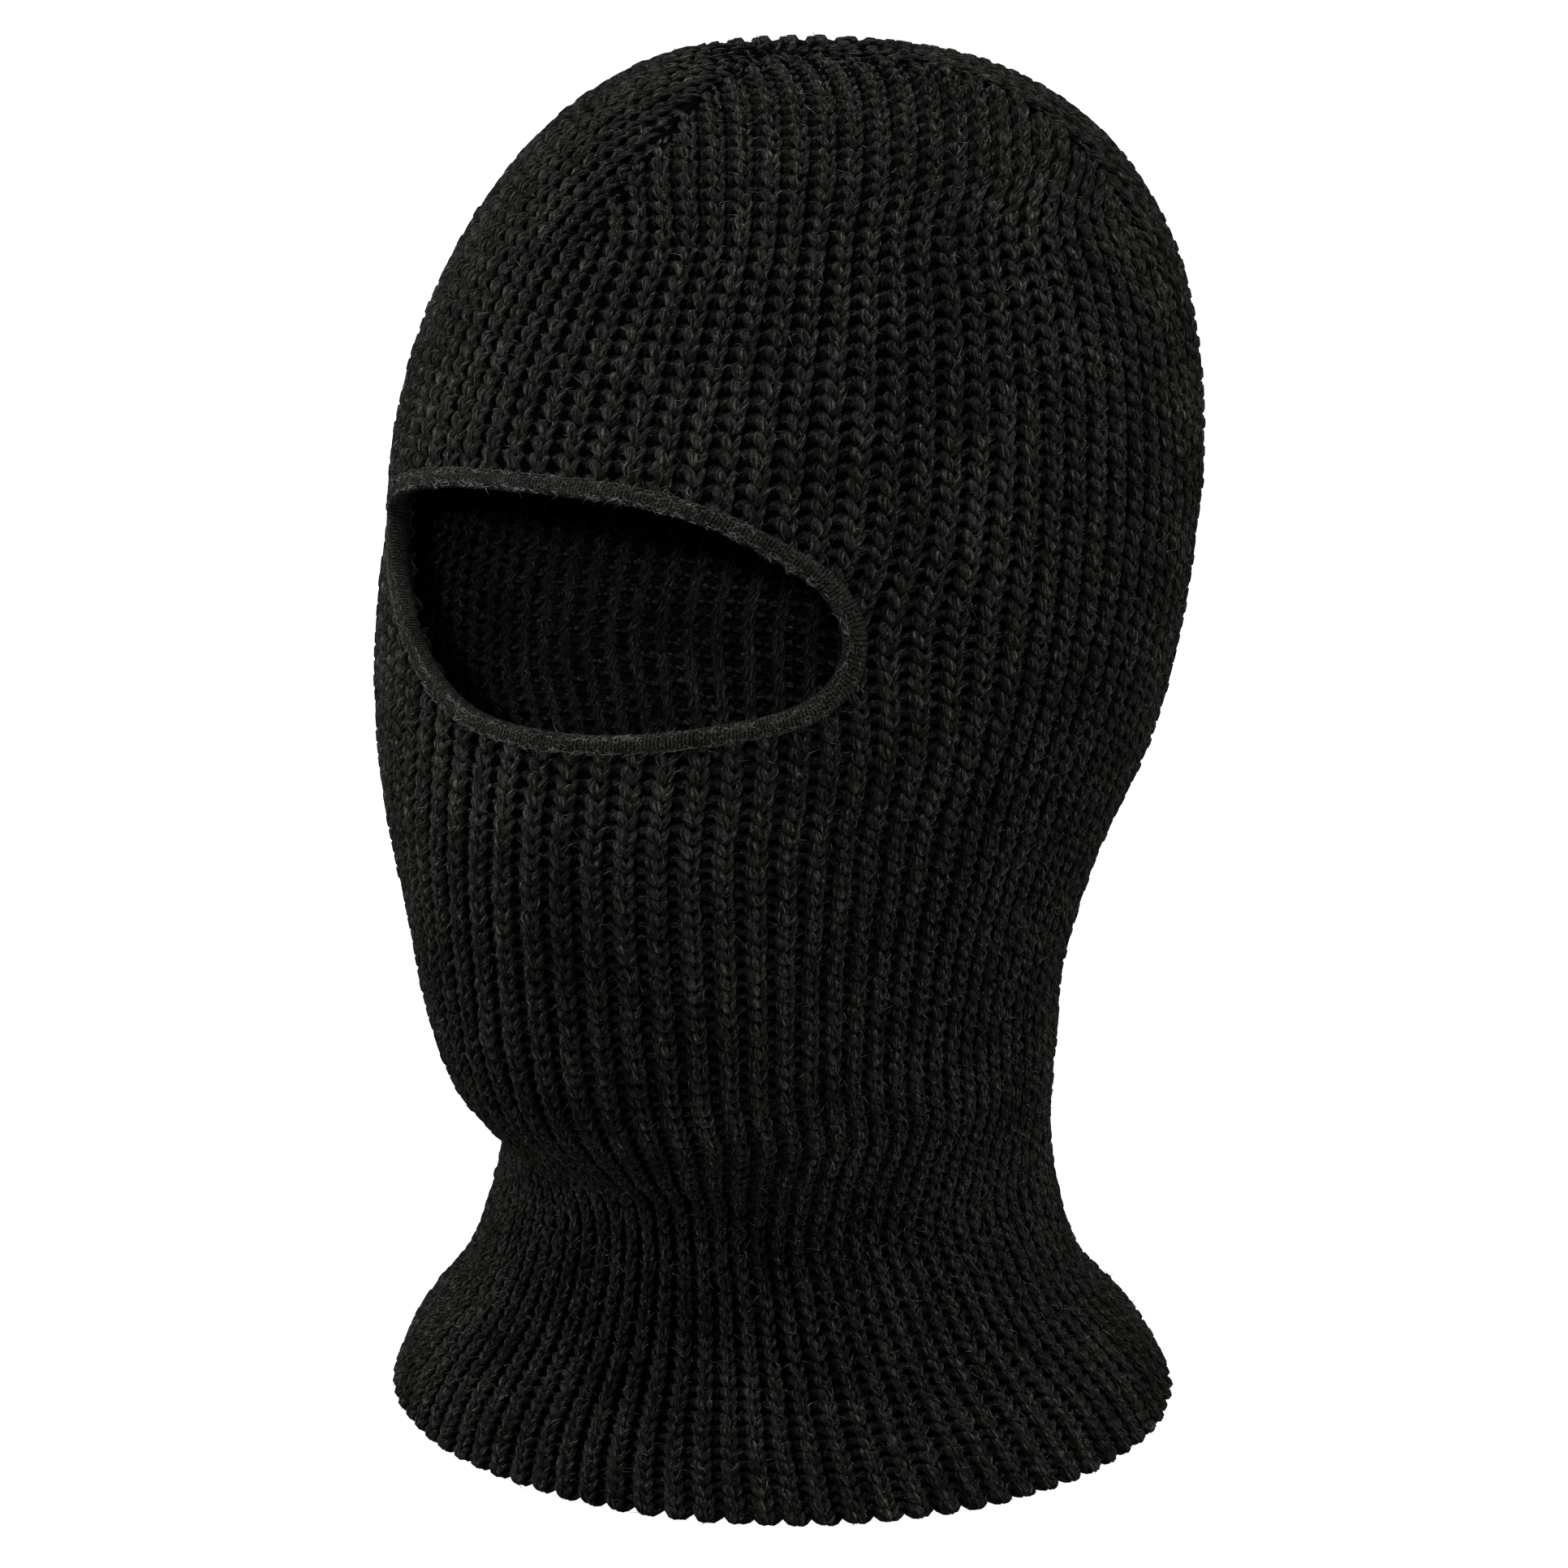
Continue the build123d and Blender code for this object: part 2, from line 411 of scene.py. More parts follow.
def tube_faces(keep):
    """Quads between the neighbouring rings of each tube where keep says so, and their cells."""
    row, ring = np.nonzero(keep)
    side = np.arange(TUBE_SIDES)
    base = first_points(keep, row, ring)
    here, beside = base + side, base + (side + 1) % TUBE_SIDES
    faces = np.stack([here, beside, beside + TUBE_SIDES, here + TUBE_SIDES], axis=-1)
    return faces.reshape(-1, 4), row, ring


def end_caps(keep):
    """Quads that close the tubes where a run of kept cells starts or ends."""
    change = np.diff(np.pad(keep, ((0, 0), (1, 1))).astype(int), axis=1)
    starts = first_points(keep, *np.nonzero(change == 1))
    ends = first_points(keep, *np.nonzero(change == -1))
    faces = [starts + np.array(half) for half in ((0, 5, 4, 3), (0, 3, 2, 1))]
    faces += [ends + np.array(half) for half in ((3, 4, 5, 0), (1, 2, 3, 0))]
    return np.concatenate(faces)


def tubes(name, centres, normals, radius, capped=True):
    """Tubes of yarn or thread, one along each row of centres."""
    points = ring_points(centres, normals, radius)
    keep = np.ones((len(centres), centres.shape[1] - 1), dtype=bool)
    faces, _, _ = tube_faces(keep)
    if capped:
        faces = np.concatenate([faces, end_caps(keep)])
    return new_mesh(name, points.reshape(-1, 3), faces)


def grid_faces(rows, columns):
    """Quads between the neighbours in a grid of points."""
    index = np.arange(rows * columns).reshape(rows, columns)
    return np.stack([index[:-1, :-1], index[:-1, 1:], index[1:, 1:], index[1:, :-1]], axis=-1)


def cell_uvs(low, high, near, far):
    """UVs of quads that run from low to high along a row and from near to far round it."""
    return np.stack([low, near, low, far, high, far, high, near], axis=-1).reshape(-1, 4, 2)


# ------------------------------------------------------------------------------ the knit

KNIT_RINGS = 14  # rings of yarn in one loop of the knit wale
PURL_RINGS = 8
KNIT_SPAN = 1.22  # courses that a loop reaches up
PURL_SPAN = 1.06
KNIT_SPREAD = 0.25  # how far the legs of a loop lean out, as a share of the wale's width
PURL_SPREAD = 0.16
KNIT_LEAN = -0.07  # how far the top of a knit loop leans over, in ribs for each course
PURL_CROSSING = 0.25  # how far the head of a purl loop stands out of the fabric's middle
LEG_BULGE = 1.65  # how far the legs of a loop stand out of the fabric's middle
LEG_SHARPNESS = 2.6
FULL_PITCH = 6.7  # width of a rib where the knit has its full relief
FABRIC_MIDDLE = -2.85  # depth of the yarn where it crosses between a knit and a purl wale
CORE_DEPTH = -1.55  # depth of the felted core behind a knit wale
HEM_START = 0.42  # courses: the lowest yarn stands on the hem plane
HEM_SCALLOP = 0.6  # courses that the hem rises between two knit wales
WAVE_COUNT = 10
WAVE_SUM = 3.2  # about how high that many waves reach when they are added up


def waves(rib, course, size, scale, seed):
    """A smooth uneven field over the fabric, closed round the hood."""
    draw = np.random.default_rng(seed)
    total = np.zeros(np.broadcast(rib, course).shape)
    for _ in range(WAVE_COUNT):
        turns = draw.integers(1, 14) * draw.choice((-1, 1))
        rise = draw.uniform(0.3, 1.6) / scale
        total += np.sin(rib / RIBS * 2 * pi * turns + course * rise + draw.uniform(0, 6.3))
    return total * size / WAVE_SUM


def hem_scallop(rib, course):
    """Course numbers with the hem drawn up between the knit wales."""
    valley = 0.5 - 0.5 * np.cos(2 * pi * (rib - KNIT_SHARE / 2))
    return course + HEM_SCALLOP * valley * np.exp(-np.maximum(course - HEM_START, 0) / 1.2)


def course_path():
    """One rib's repeat of yarn: place across the rib, course share, depth and radius."""
    across, up, depth, radius = [], [], [], []
    for knit, rings in ((True, KNIT_RINGS), (False, PURL_RINGS)):
        s = np.arange(rings) / rings
        head, leg = np.sin(pi * s), np.sin(2 * pi * s)
        width = KNIT_SHARE if knit else 1 - KNIT_SHARE
        start = 0.0 if knit else KNIT_SHARE
        spread = (KNIT_SPREAD if knit else PURL_SPREAD) * np.sin(4 * pi * s)
        rise = 0.5 * (KNIT_SPAN if knit else PURL_SPAN) * (1 - np.cos(2 * pi * s))
        across.append(start + width * (s + spread) + (KNIT_LEAN if knit else 0.0) * rise)
        up.append(rise)
        bulge = LEG_BULGE * np.abs(leg) ** LEG_SHARPNESS
        depth.append(bulge if knit else PURL_CROSSING * head - bulge)
        radius.append(1.0 + 0.30 * leg * head if knit else 0.68 + 0.28 * leg**2)
    return (np.concatenate(part) for part in (across, up, depth, radius))


def knit_body():
    """The rib knit as the yarn of every course, each one a row of interlocking loops."""
    across, up, depth, radius = course_path()
    per_rib = len(across)
    rings = RIBS * per_rib
    rib = (np.arange(RIBS)[:, None] + across).ravel()[None]
    rise_up = np.tile(up, RIBS)[None]
    course = np.arange(COURSES)[:, None] + HEM_START + rise_up
    loop = np.repeat(np.arange(RIBS * 2), [KNIT_RINGS, PURL_RINGS] * RIBS)
    loop_noise = rng.normal(size=(4, COURSES, RIBS * 2))[:, :, loop]
    rib_noise, course_noise, depth_noise, size_noise = loop_noise
    rib = rib + waves(rib, course, size=0.07, scale=9.0, seed=3) + 0.018 * rib_noise
    lift = waves(rib, course, size=0.22, scale=14.0, seed=5)
    course = course + 0.05 * course_noise + lift * np.clip(course / 8, 0, 1)
    course = np.clip(hem_scallop(rib, course), 0.3, COURSES)
    rise, turn, past = place_on_form(rib, course)
    base, normal = surface(rise, turn)
    thickness = yarn_thickness(rise, turn)
    relief = thickness * crown_relief(rise)
    out = FABRIC_MIDDLE * (0.4 + 0.6 * relief) + np.tile(depth, RIBS) * relief
    out = out + 0.10 * depth_noise + dents(rib, rise, past, base)
    centres = base + normal * out[..., None]
    size = np.tile(radius, RIBS) * (1 + 0.05 * size_noise) * (0.04 + 0.96 * thickness)
    centres[..., 2] = above_floor(centres[..., 2], size + 0.15)
    points = ring_points(centres, normal, size, flatten=0.92)
    open_ring = (past < 0.012) & (eye_distance(base) > TAPE_FOLD + 0.6)
    keep = open_ring[:, :-1] & open_ring[:, 1:]
    faces, row, ring = tube_faces(keep)
    side = np.tile(np.arange(TUBE_SIDES), len(row))
    row, ring = np.repeat(row, TUBE_SIDES), np.repeat(ring, TUBE_SIDES)
    margin = 0.06  # of a course's strip of the texture, kept free on each side
    low, high = ring / rings, (ring + 1) / rings
    near = (row + margin + (1 - 2 * margin) * side / TUBE_SIDES) / COURSES
    far = (row + margin + (1 - 2 * margin) * (side + 1) / TUBE_SIDES) / COURSES
    uvs = cell_uvs(low, high, near, far)
    caps = end_caps(keep)
    faces = np.concatenate([faces, caps])
    uvs = np.concatenate([uvs, np.zeros((len(caps), 4, 2))])
    used, faces = np.unique(faces, return_inverse=True)
    points = points.reshape(-1, 3)[used]
    return new_mesh("rib_knit_yarn", points, faces.reshape(-1, 4), uvs), centres, normal, keep


def stray_fibres(name, centres, normals, keep, count, yarn_radius, lengths):
    """Short loose fibres that stand off the outer side of the rows of centres."""
    row, ring = np.nonzero(keep)
    pick = rng.integers(len(row), size=count)
    row, ring = row[pick], ring[pick]
    start, out = centres[row, ring], normals[row, ring]
    along = normalised(centres[row, ring + 1] - start)
    across = normalised(np.cross(along, out))
    angle = rng.uniform(-1.2, 1.2, (count, 1))
    start = start + (across * np.sin(angle) + out * np.cos(angle)) * yarn_radius
    heading = along * rng.choice((-1, 1), (count, 1)) + across * rng.normal(0, 0.5, (count, 1))
    heading = normalised(heading + out * rng.uniform(0.02, 0.55, (count, 1)))
    bend = across * rng.normal(0, 0.5, (count, 1)) - out * rng.uniform(0.1, 0.6, (count, 1))
    length = rng.uniform(*lengths, (count, 1, 1))
    share = np.linspace(0, 1, 5)[None, :, None]
    path = start[:, None] + (heading[:, None] * share + bend[:, None] * share**2 * 0.6) * length
    path[..., 2] = np.maximum(path[..., 2], 0.1)
    side = normalised(np.cross(heading, out))[:, None]
    width = rng.uniform(0.05, 0.085, (count, 1, 1)) * (1.05 - share)
    points = np.stack([path - side * width, path + side * width], axis=2)
    step = np.arange(4)[None] * 2 + np.arange(count)[:, None] * 10
    faces = np.stack([step, step + 1, step + 3, step + 2], axis=-1).reshape(-1, 4)
    return new_mesh(name, points.reshape(-1, 3), faces, ribbon_uvs(count, 4))


def ribbon_uvs(count, segments):
    """Each ribbon's own small cell of the texture square."""
    cells = int(np.ceil(np.sqrt(count)))
    cell = np.arange(count)
    low = np.stack([cell % cells, cell // cells], axis=-1)[:, None, None].astype(float)
    corners = np.zeros((count, segments, 4, 2))
    corners[..., 0] = (0.1, 0.9, 0.9, 0.1)
    start = np.arange(segments)[None, :, None] / segments
    corners[..., 1] = 0.1 + 0.8 * (start + np.array((0, 0, 1, 1)) / segments)
    return ((low + corners) / cells).reshape(-1, 4, 2)


def above_floor(z, clearance):
    """Heights pressed up where they would come closer to the floor than the clearance."""
    spare = z - clearance
    return clearance + 0.5 * (spare + np.sqrt(spare**2 + 0.4))


def knit_core():
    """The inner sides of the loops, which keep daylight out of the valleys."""
    columns, rows = RIBS * 4, COURSES * 2
    rib = np.arange(columns + 1)[None] / 4.0
    course = np.linspace(0.55, COURSES - 0.2, rows)[:, None]
    rib, course = np.broadcast_arrays(rib, hem_scallop(rib, course))
    rise, turn, past = place_on_form(rib, course)
    base, normal = surface(rise, turn)
    valley = 0.5 - 0.5 * np.cos(2 * pi * (rib - KNIT_SHARE / 2))
    out = CORE_DEPTH - 2.0 * valley**1.5 + 0.6 * dents(rib, rise, past, base)
    relief = yarn_thickness(rise, turn) * crown_relief(rise)
    out = out * (0.35 + 0.65 * relief)
    front, back = (base + normal * (out - step)[..., None] for step in (0.0, 0.35))
    for side in (front, back):
        side[..., 2] = above_floor(side[..., 2], 0.3)
    faces = grid_faces(rows, columns + 1)
    inside = (past < 0.06) & (eye_distance(base) > TAPE_FOLD)
    keep = inside[:-1, :-1] & inside[:-1, 1:] & inside[1:, 1:] & inside[1:, :-1]
    return thick_sheet("knit_core", front, back, faces[keep])


def thick_sheet(name, front, back, faces):
    """A closed sheet from two layers of points, with a rim along every open edge."""
    shift = front.size // 3
    edges = np.concatenate([faces[:, [side, (side + 1) % 4]] for side in range(4)])
    key = np.sort(edges, axis=1) @ np.array([shift, 1])
    _, first, count = np.unique(key, return_index=True, return_counts=True)
    rim = edges[first[count == 1]]
    rim = np.stack([rim[:, 1], rim[:, 0], rim[:, 0] + shift, rim[:, 1] + shift], axis=-1)
    quads = np.concatenate([faces, faces[:, ::-1] + shift, rim])
    points = np.concatenate([front.reshape(-1, 3), back.reshape(-1, 3)])
    used, quads = np.unique(quads, return_inverse=True)
    return new_mesh(name, points[used], quads.reshape(-1, 4))


def crown_relief(rise):
    """Height of the ribs on the crown, where the last courses are drawn flat."""
    return 1 - 0.45 * np.clip((rise - 1.45) / 0.22, 0, 1)


def local_pitch(rise, turn):
    """Width of a rib where it lies on the form, in millimetres."""
    around = np.linalg.norm(np.diff(POINTS, axis=1), axis=-1)
    ribs = np.maximum(np.diff(RIB_NUMBER, axis=1), 1e-6)
    pitch = around / ribs
    pitch = np.concatenate([pitch, pitch[:, :1]], axis=1)
    dart_row = int(grid_row(DART_START))
    pitch[dart_row:] = pitch[dart_row]
    return sample(pitch, rise, turn)


def yarn_thickness(rise, turn):
    """Thickness of the yarn as a share of the full one, less where the ribs are narrow."""
    return np.clip(local_pitch(rise, turn) / FULL_PITCH, 0.5, 1.0)


def dents(rib, rise, past, base):
    """How seams and the eye tape draw the fabric in, as a depth below 0."""
    back = np.abs((rib % RIBS) - RIBS / 2)
    back_dent = 0.9 * bell(back, 0.28)
    crown_dent = 0.9 * bell(past, 0.05) * (rise > DART_START)
    eye_dent = 0.8 * bell(eye_distance(base) - 4.0, 2.2)
    top_dent = 1.1 * np.clip((rise - 1.78) / 0.16, 0, 1)
    return -(back_dent + crown_dent + eye_dent + top_dent)


# --------------------------------------------------------------------------- eye binding


def turn_of(x, z):
    """Turn on the face half of the form at places of the front view, and the rise."""
    rise = z / CROWN_START
    above = z > CROWN_START
    share = np.clip((z - CROWN_START) / (HEIGHT - CROWN_START), 0, 1)
    rise = np.where(above, 1 + np.arcsin(share) * 2 / pi, rise)
    _, (_, _, side, egg) = form_sizes(rise)
    turn = np.arcsin(np.clip(x / side, -0.99, 0.99))
    for _ in range(8):
        turn = np.arcsin(np.clip(x / (side * (1 - egg * np.cos(turn))), -0.99, 0.99))
    return turn, rise


def eye_frame(count):
    """Places along the eye outline on the form, with the directions out and away from it."""
    dense = eye_curve(4000)
    turn, rise = turn_of(dense[:, 0], dense[:, 1])
    points = sample(POINTS, rise, turn)
    steps = np.linalg.norm(np.diff(np.concatenate([points, points[:1]]), axis=0), axis=1)
    length = np.concatenate([[0], np.cumsum(steps)])
    at = np.interp(np.arange(count) / count * length[-1], length, np.arange(4001))
    wrapped = np.concatenate([dense, dense[:1]])
    place = np.stack([np.interp(at, np.arange(4001), wrapped[:, k]) for k in (0, 1)], axis=1)
    turn, rise = turn_of(place[:, 0], place[:, 1])
    points, normal = surface(rise, turn)
    tangent = normalised(np.roll(points, -1, axis=0) - np.roll(points, 1, axis=0))
    away = normalised(np.cross(tangent, normal))
    centre = points.mean(axis=0)
    away *= np.sign(np.sum(away * (points - centre), axis=1, keepdims=True))
    return points, normal, away, tangent, length[-1]


def tape_section():
    """The folded tape's outline: distance from the opening's edge, and depth."""
    outer = [(3.75, -0.75), (3.7, -0.1), (3.2, 0.35), (2.3, 0.55), (1.3, 0.50)]
    fold = [(0.5, 0.15), (0.08, -0.45), (-0.05, -1.2), (0.0, -2.0), (0.3, -2.7)]
    inner = [(1.2, -3.3), (2.4, -3.9), (3.6, -4.3), (4.0, -4.0)]
    back = [(3.4, -3.4), (2.2, -2.9), (1.5, -2.2), (1.4, -1.4), (2.0, -0.8), (3.3, -1.0)]
    return np.array(outer + fold + inner + back)


TAPE_RIB = 0.62  # pitch of the crosswise ribs
TAPE_RINGS = 4  # rings of points for each of them
TAPE_SWELL = 0.07
TAPE_HATCHES = 360  # darker and lighter bands round the opening
TAPE_HIDDEN = 6  # points of the section that lie against the knit


def eye_tape():
    """A fine knit tape folded over the edge of the eye opening."""
    count = round(eye_frame(64)[-1] / TAPE_RIB) * TAPE_RINGS
    points, normal, away, _, _ = eye_frame(count)
    section = tape_section()
    along = np.arange(count)
    swell = TAPE_SWELL * np.cos(along / TAPE_RINGS * 2 * pi)
    wander = waves(along / count * RIBS, np.zeros(count), size=0.10, scale=1.0, seed=21)
    shown = np.ones(len(section))
    shown[-TAPE_HIDDEN:] = 0
    middle = section.mean(axis=0)
    outward = (section - middle) / np.linalg.norm(section - middle, axis=1, keepdims=True)
    offset = section[None] + outward[None] * shown[None, :, None] * swell[:, None, None]
    offset = offset + wander[:, None, None] * shown[None, :, None] * 0.5
    wide = 1 + 0.28 * bell(points[:, 0] - 56, 12) - 0.22 * bell(points[:, 0] + 50, 10)
    offset[..., 0] *= wide[:, None]
    rings = (
        points[:, None]
        + away[:, None] * offset[..., :1]
        + normal[:, None] * offset[..., 1:]
    )
    sides = len(section)
    row = np.arange(count)[:, None]
    side = np.arange(sides)[None]
    here = row * sides + side
    beside = row * sides + (side + 1) % sides
    ahead = (row + 1) % count * sides
    faces = np.stack(
        [here, beside, ahead + (side + 1) % sides, ahead + side], axis=-1
    ).reshape(-1, 4)
    edges = (row / count, (row + 1) / count, side / sides, (side + 1) / sides)
    uvs = cell_uvs(*np.broadcast_arrays(*edges))
    return new_mesh("eye_binding_tape", rings.reshape(-1, 3), faces, uvs)


def tape_rows():
    """Rows of places across the outer limb of the tape, with normals, for fibres to grow on."""
    points, normal, away, _, _ = eye_frame(400)
    reach = np.linspace(0.3, 3.4, 8)[:, None, None]
    rows = points[None] + away[None] * reach
    normals = np.broadcast_to(normal[None], rows.shape)
    return rows, normals, np.ones((8, 399), dtype=bool)


def thread_pieces(name, starts, ends, normals, radius, arch):
    """Short arched stitches from each start to each end."""
    share = np.linspace(0, 1, 7)
    bow = np.sin(share * pi) ** 0.7
    centres = (
        starts[:, None] * (1 - share)[None, :, None]
        + ends[:, None] * share[None, :, None]
        + normals[:, None] * (bow * arch - radius * 0.6)[None, :, None]
    )
    return tubes(name, centres, np.broadcast_to(normals[:, None], centres.shape), radius)


STITCH_PITCH = 2.5


def binding_stitches(name, edge, depth, side):
    """The row of stitches that holds one limb of the eye tape."""
    count = round(eye_frame(64)[-1] / STITCH_PITCH)
    points, normal, away, tangent, _ = eye_frame(count)
    jitter = rng.normal(size=(3, count, 1))
    start = points + away * (edge + 0.12 * jitter[0]) + normal * depth
    start = start - tangent * STITCH_PITCH * 0.42
    end = points + away * (edge + 0.28 + 0.12 * jitter[1]) + normal * depth
    end = end + tangent * STITCH_PITCH * 0.40
    return thread_pieces(name, start, end, normal * side, 0.19, 0.30)


# ---------------------------------------------------------------------------------- seams


SEAM_WIDTH = 2.6
SEAM_PITCH = 1.9
SEAM_POINTS = 8  # for each zigzag
SEAM_END = 1.94  # rise at which every seam ends, under the crown tack


def seam_ridge(name, turn, rise_low):
    """An overlock seam on the inside at one turn: thread zigzags over a rolled edge."""
    rise = np.linspace(rise_low, SEAM_END, 400)
    turn = np.full(rise.shape, turn)
    points, normal = surface(rise, turn)
    steps = np.linalg.norm(np.diff(points, axis=0), axis=1)
    length = np.concatenate([[0], np.cumsum(steps)])
    count = max(int(length[-1] / SEAM_PITCH), 4) * SEAM_POINTS
    at = np.linspace(0, length[-1], count)
    centre = np.stack([np.interp(at, length, points[:, k]) for k in range(3)], axis=1)
    out = normalised(np.stack([np.interp(at, length, normal[:, k]) for k in range(3)], axis=1))
    tangent = normalised(np.gradient(centre, axis=0))
    across = np.cross(tangent, out)
    phase = np.arange(count) / SEAM_POINTS * 2 * pi
    swing = np.sin(phase)[:, None] * SEAM_WIDTH / 2
    lift = -(WALL + 0.35 + 0.35 * np.cos(phase * 2))[:, None]
    path = centre + across * swing + out * lift
    return tubes(name, path[None], out[None], radius=0.42)


def crown_tack():
    """A few turns of yarn that draw the four crown points together."""
    top = POINTS[-1, 0]
    count = 90
    at = np.linspace(0, 1, count)
    angle = at * 2 * pi * 3.3
    reach = 0.8 + 2.6 * np.abs(np.sin(angle * 0.9))
    path = np.stack([
        reach * np.cos(angle),
        reach * np.sin(angle) + top[1],
        top[2] - WALL - 0.9 + 0.5 * np.sin(angle * 2.3),
    ], axis=1)
    up = np.broadcast_to((0.0, 0.0, 1.0), path.shape)
    return tubes("crown_tack_yarn", path[None], up[None], radius=0.55, capped=False)


# --------------------------------------------------------------------------- care label


LABEL_LEFT = 2.6
LABEL_WIDTH = 28.0
LABEL_BOTTOM = 18.0
LABEL_LENGTH = 38.0


def back_place(x, z):
    """Rise and turn of places on the back of the hood."""
    rise = z / CROWN_START
    _, (_, _, side, egg) = form_sizes(rise.ravel())
    side, egg = side.reshape(rise.shape), egg.reshape(rise.shape)
    return rise, pi - np.arcsin(x / (side * (1 + egg)))


def care_label():
    """A blank satin label that lies against the inside of the back."""
    columns, rows = 36, 60
    x = LABEL_LEFT + np.linspace(0, LABEL_WIDTH, columns)[None]
    z = LABEL_BOTTOM + np.linspace(0, LABEL_LENGTH, rows)[:, None]
    x, z = np.broadcast_arrays(x, z)
    base, normal = surface(*back_place(x, z))
    share = (z - LABEL_BOTTOM) / LABEL_LENGTH
    droop = 0.5 + 1.0 * (1 - share) ** 2 + 0.25 * np.sin(x * 0.35) * (1 - share)
    front = base - normal * (WALL + droop)[..., None]
    back = base - normal * (WALL + droop - 0.28)[..., None]
    faces = grid_faces(rows, columns)[..., (1, 0, 3, 2)].reshape(-1, 4)
    return thick_sheet("blank_care_label", front, back, faces)


def label_stitches():
    """A row of short stitches along the top edge of the label."""
    count = 14
    x = LABEL_LEFT + 2 + np.arange(count) / count * (LABEL_WIDTH - 4)
    z = np.full(count, LABEL_BOTTOM + LABEL_LENGTH - 2.5)
    ends = []
    for shift in (0.0, 1.3):
        base, normal = surface(*back_place(x + shift, z))
        ends.append(base - normal * (WALL + 0.55))
    return thread_pieces("label_stitches", ends[0], ends[1], -normal, 0.16, 0.25)


# --------------------------------------------------------------------------- materials


class Nodes:
    """A material's node tree, with short calls to add and join nodes."""

    def __init__(self, name):
        self.material = bpy.data.materials.new(name)
        self.material.use_nodes = True
        self.tree = self.material.node_tree
        self.shader = self.tree.nodes["Principled BSDF"]

    def add(self, kind, *given, **settings):
        """A new node, with its first sockets set to numbers or joined to outputs."""
        node = self.tree.nodes.new(kind)
        for key, value in settings.items():
            setattr(node, key, value)
        for socket, value in zip(node.inputs, given):
            if isinstance(value, (int, float)):
                socket.default_value = value
            else:
                self.join(value, socket)
        return node

    def join(self, source, target):
        self.tree.links.new(source, target)

    def value(self, operation, first, second=0.0, third=0.0):
        return self.add("ShaderNodeMath", first, second, third, operation=operation).outputs[0]

    def position(self):
        return self.add("ShaderNodeTexCoord").outputs["Object"]

    def split(self, vector):
        return self.add("ShaderNodeSeparateXYZ", vector).outputs

    def uv_parts(self):
        """Place along a row of yarn or tape, and place round it."""
        return self.split(self.add("ShaderNodeUVMap", uv_map="OFBake").outputs["UV"])

    def noise(self, vector, scale, detail=3.0, roughness=0.55):
        node = self.add("ShaderNodeTexNoise")
        node.inputs["Scale"].default_value = scale
        node.inputs["Detail"].default_value = detail
        node.inputs["Roughness"].default_value = roughness
        self.join(vector, node.inputs["Vector"])
        return node.outputs["Fac"]

    def colour(self, factor, stops):
        """The shader's colour by a ramp over the factor."""
        node = self.add("ShaderNodeValToRGB")
        while len(node.color_ramp.elements) < len(stops):
            node.color_ramp.elements.new(0.5)
        for element, (position, colour) in zip(node.color_ramp.elements, stops):
            element.position = position
            element.color = (*colour, 1.0)
        self.join(factor, node.inputs["Fac"])
        self.join(node.outputs["Color"], self.shader.inputs["Base Color"])

    def combine(self, x, y, z=0.0):
        return self.add("ShaderNodeCombineXYZ", x, y, z).outputs[0]

    def bump(self, height, strength, distance):
        node = self.add("ShaderNodeBump")
        node.inputs["Strength"].default_value = strength
        node.inputs["Distance"].default_value = distance
        self.join(height, node.inputs["Height"])
        self.join(node.outputs["Normal"], self.shader.inputs["Normal"])

    def finish(self, roughness, specular, sheen=0.0, sheen_roughness=0.4):
        inputs = self.shader.inputs
        inputs["Roughness"].default_value = roughness
        inputs["Specular IOR Level"].default_value = specular
        inputs["Sheen Weight"].default_value = sheen
        inputs["Sheen Roughness"].default_value = sheen_roughness
        inputs["Sheen Tint"].default_value = (0.80, 0.80, 0.74, 1.0)
        return self.material


YARN_DARK = (0.0004, 0.0004, 0.00036)
YARN_MIDDLE = (0.0026, 0.0026, 0.0024)
YARN_LIGHT = (0.0095, 0.0094, 0.0085)
YARN_GLINT = (0.042, 0.0415, 0.0375)
KNIT_RINGS_SHARE = KNIT_RINGS / (KNIT_RINGS + PURL_RINGS)
VALLEY = (1 + KNIT_RINGS_SHARE) / 2  # middle of the purl loop, in ribs along the yarn
PURL_PAINTED_SHADE = 0.11  # painted shade: how much darker the outer side of the purl legs is painted
DIVE_PAINTED_SHADE = 0.07  # painted shade: how much darker the yarn is painted where it dives between two courses
RECESS_START = 0.22  # ribs from the valley where painted shade on the inner side starts
RECESS_PAINTED_SHADE = 0.5  # painted shade: how much darker the inner side is painted for each rib further
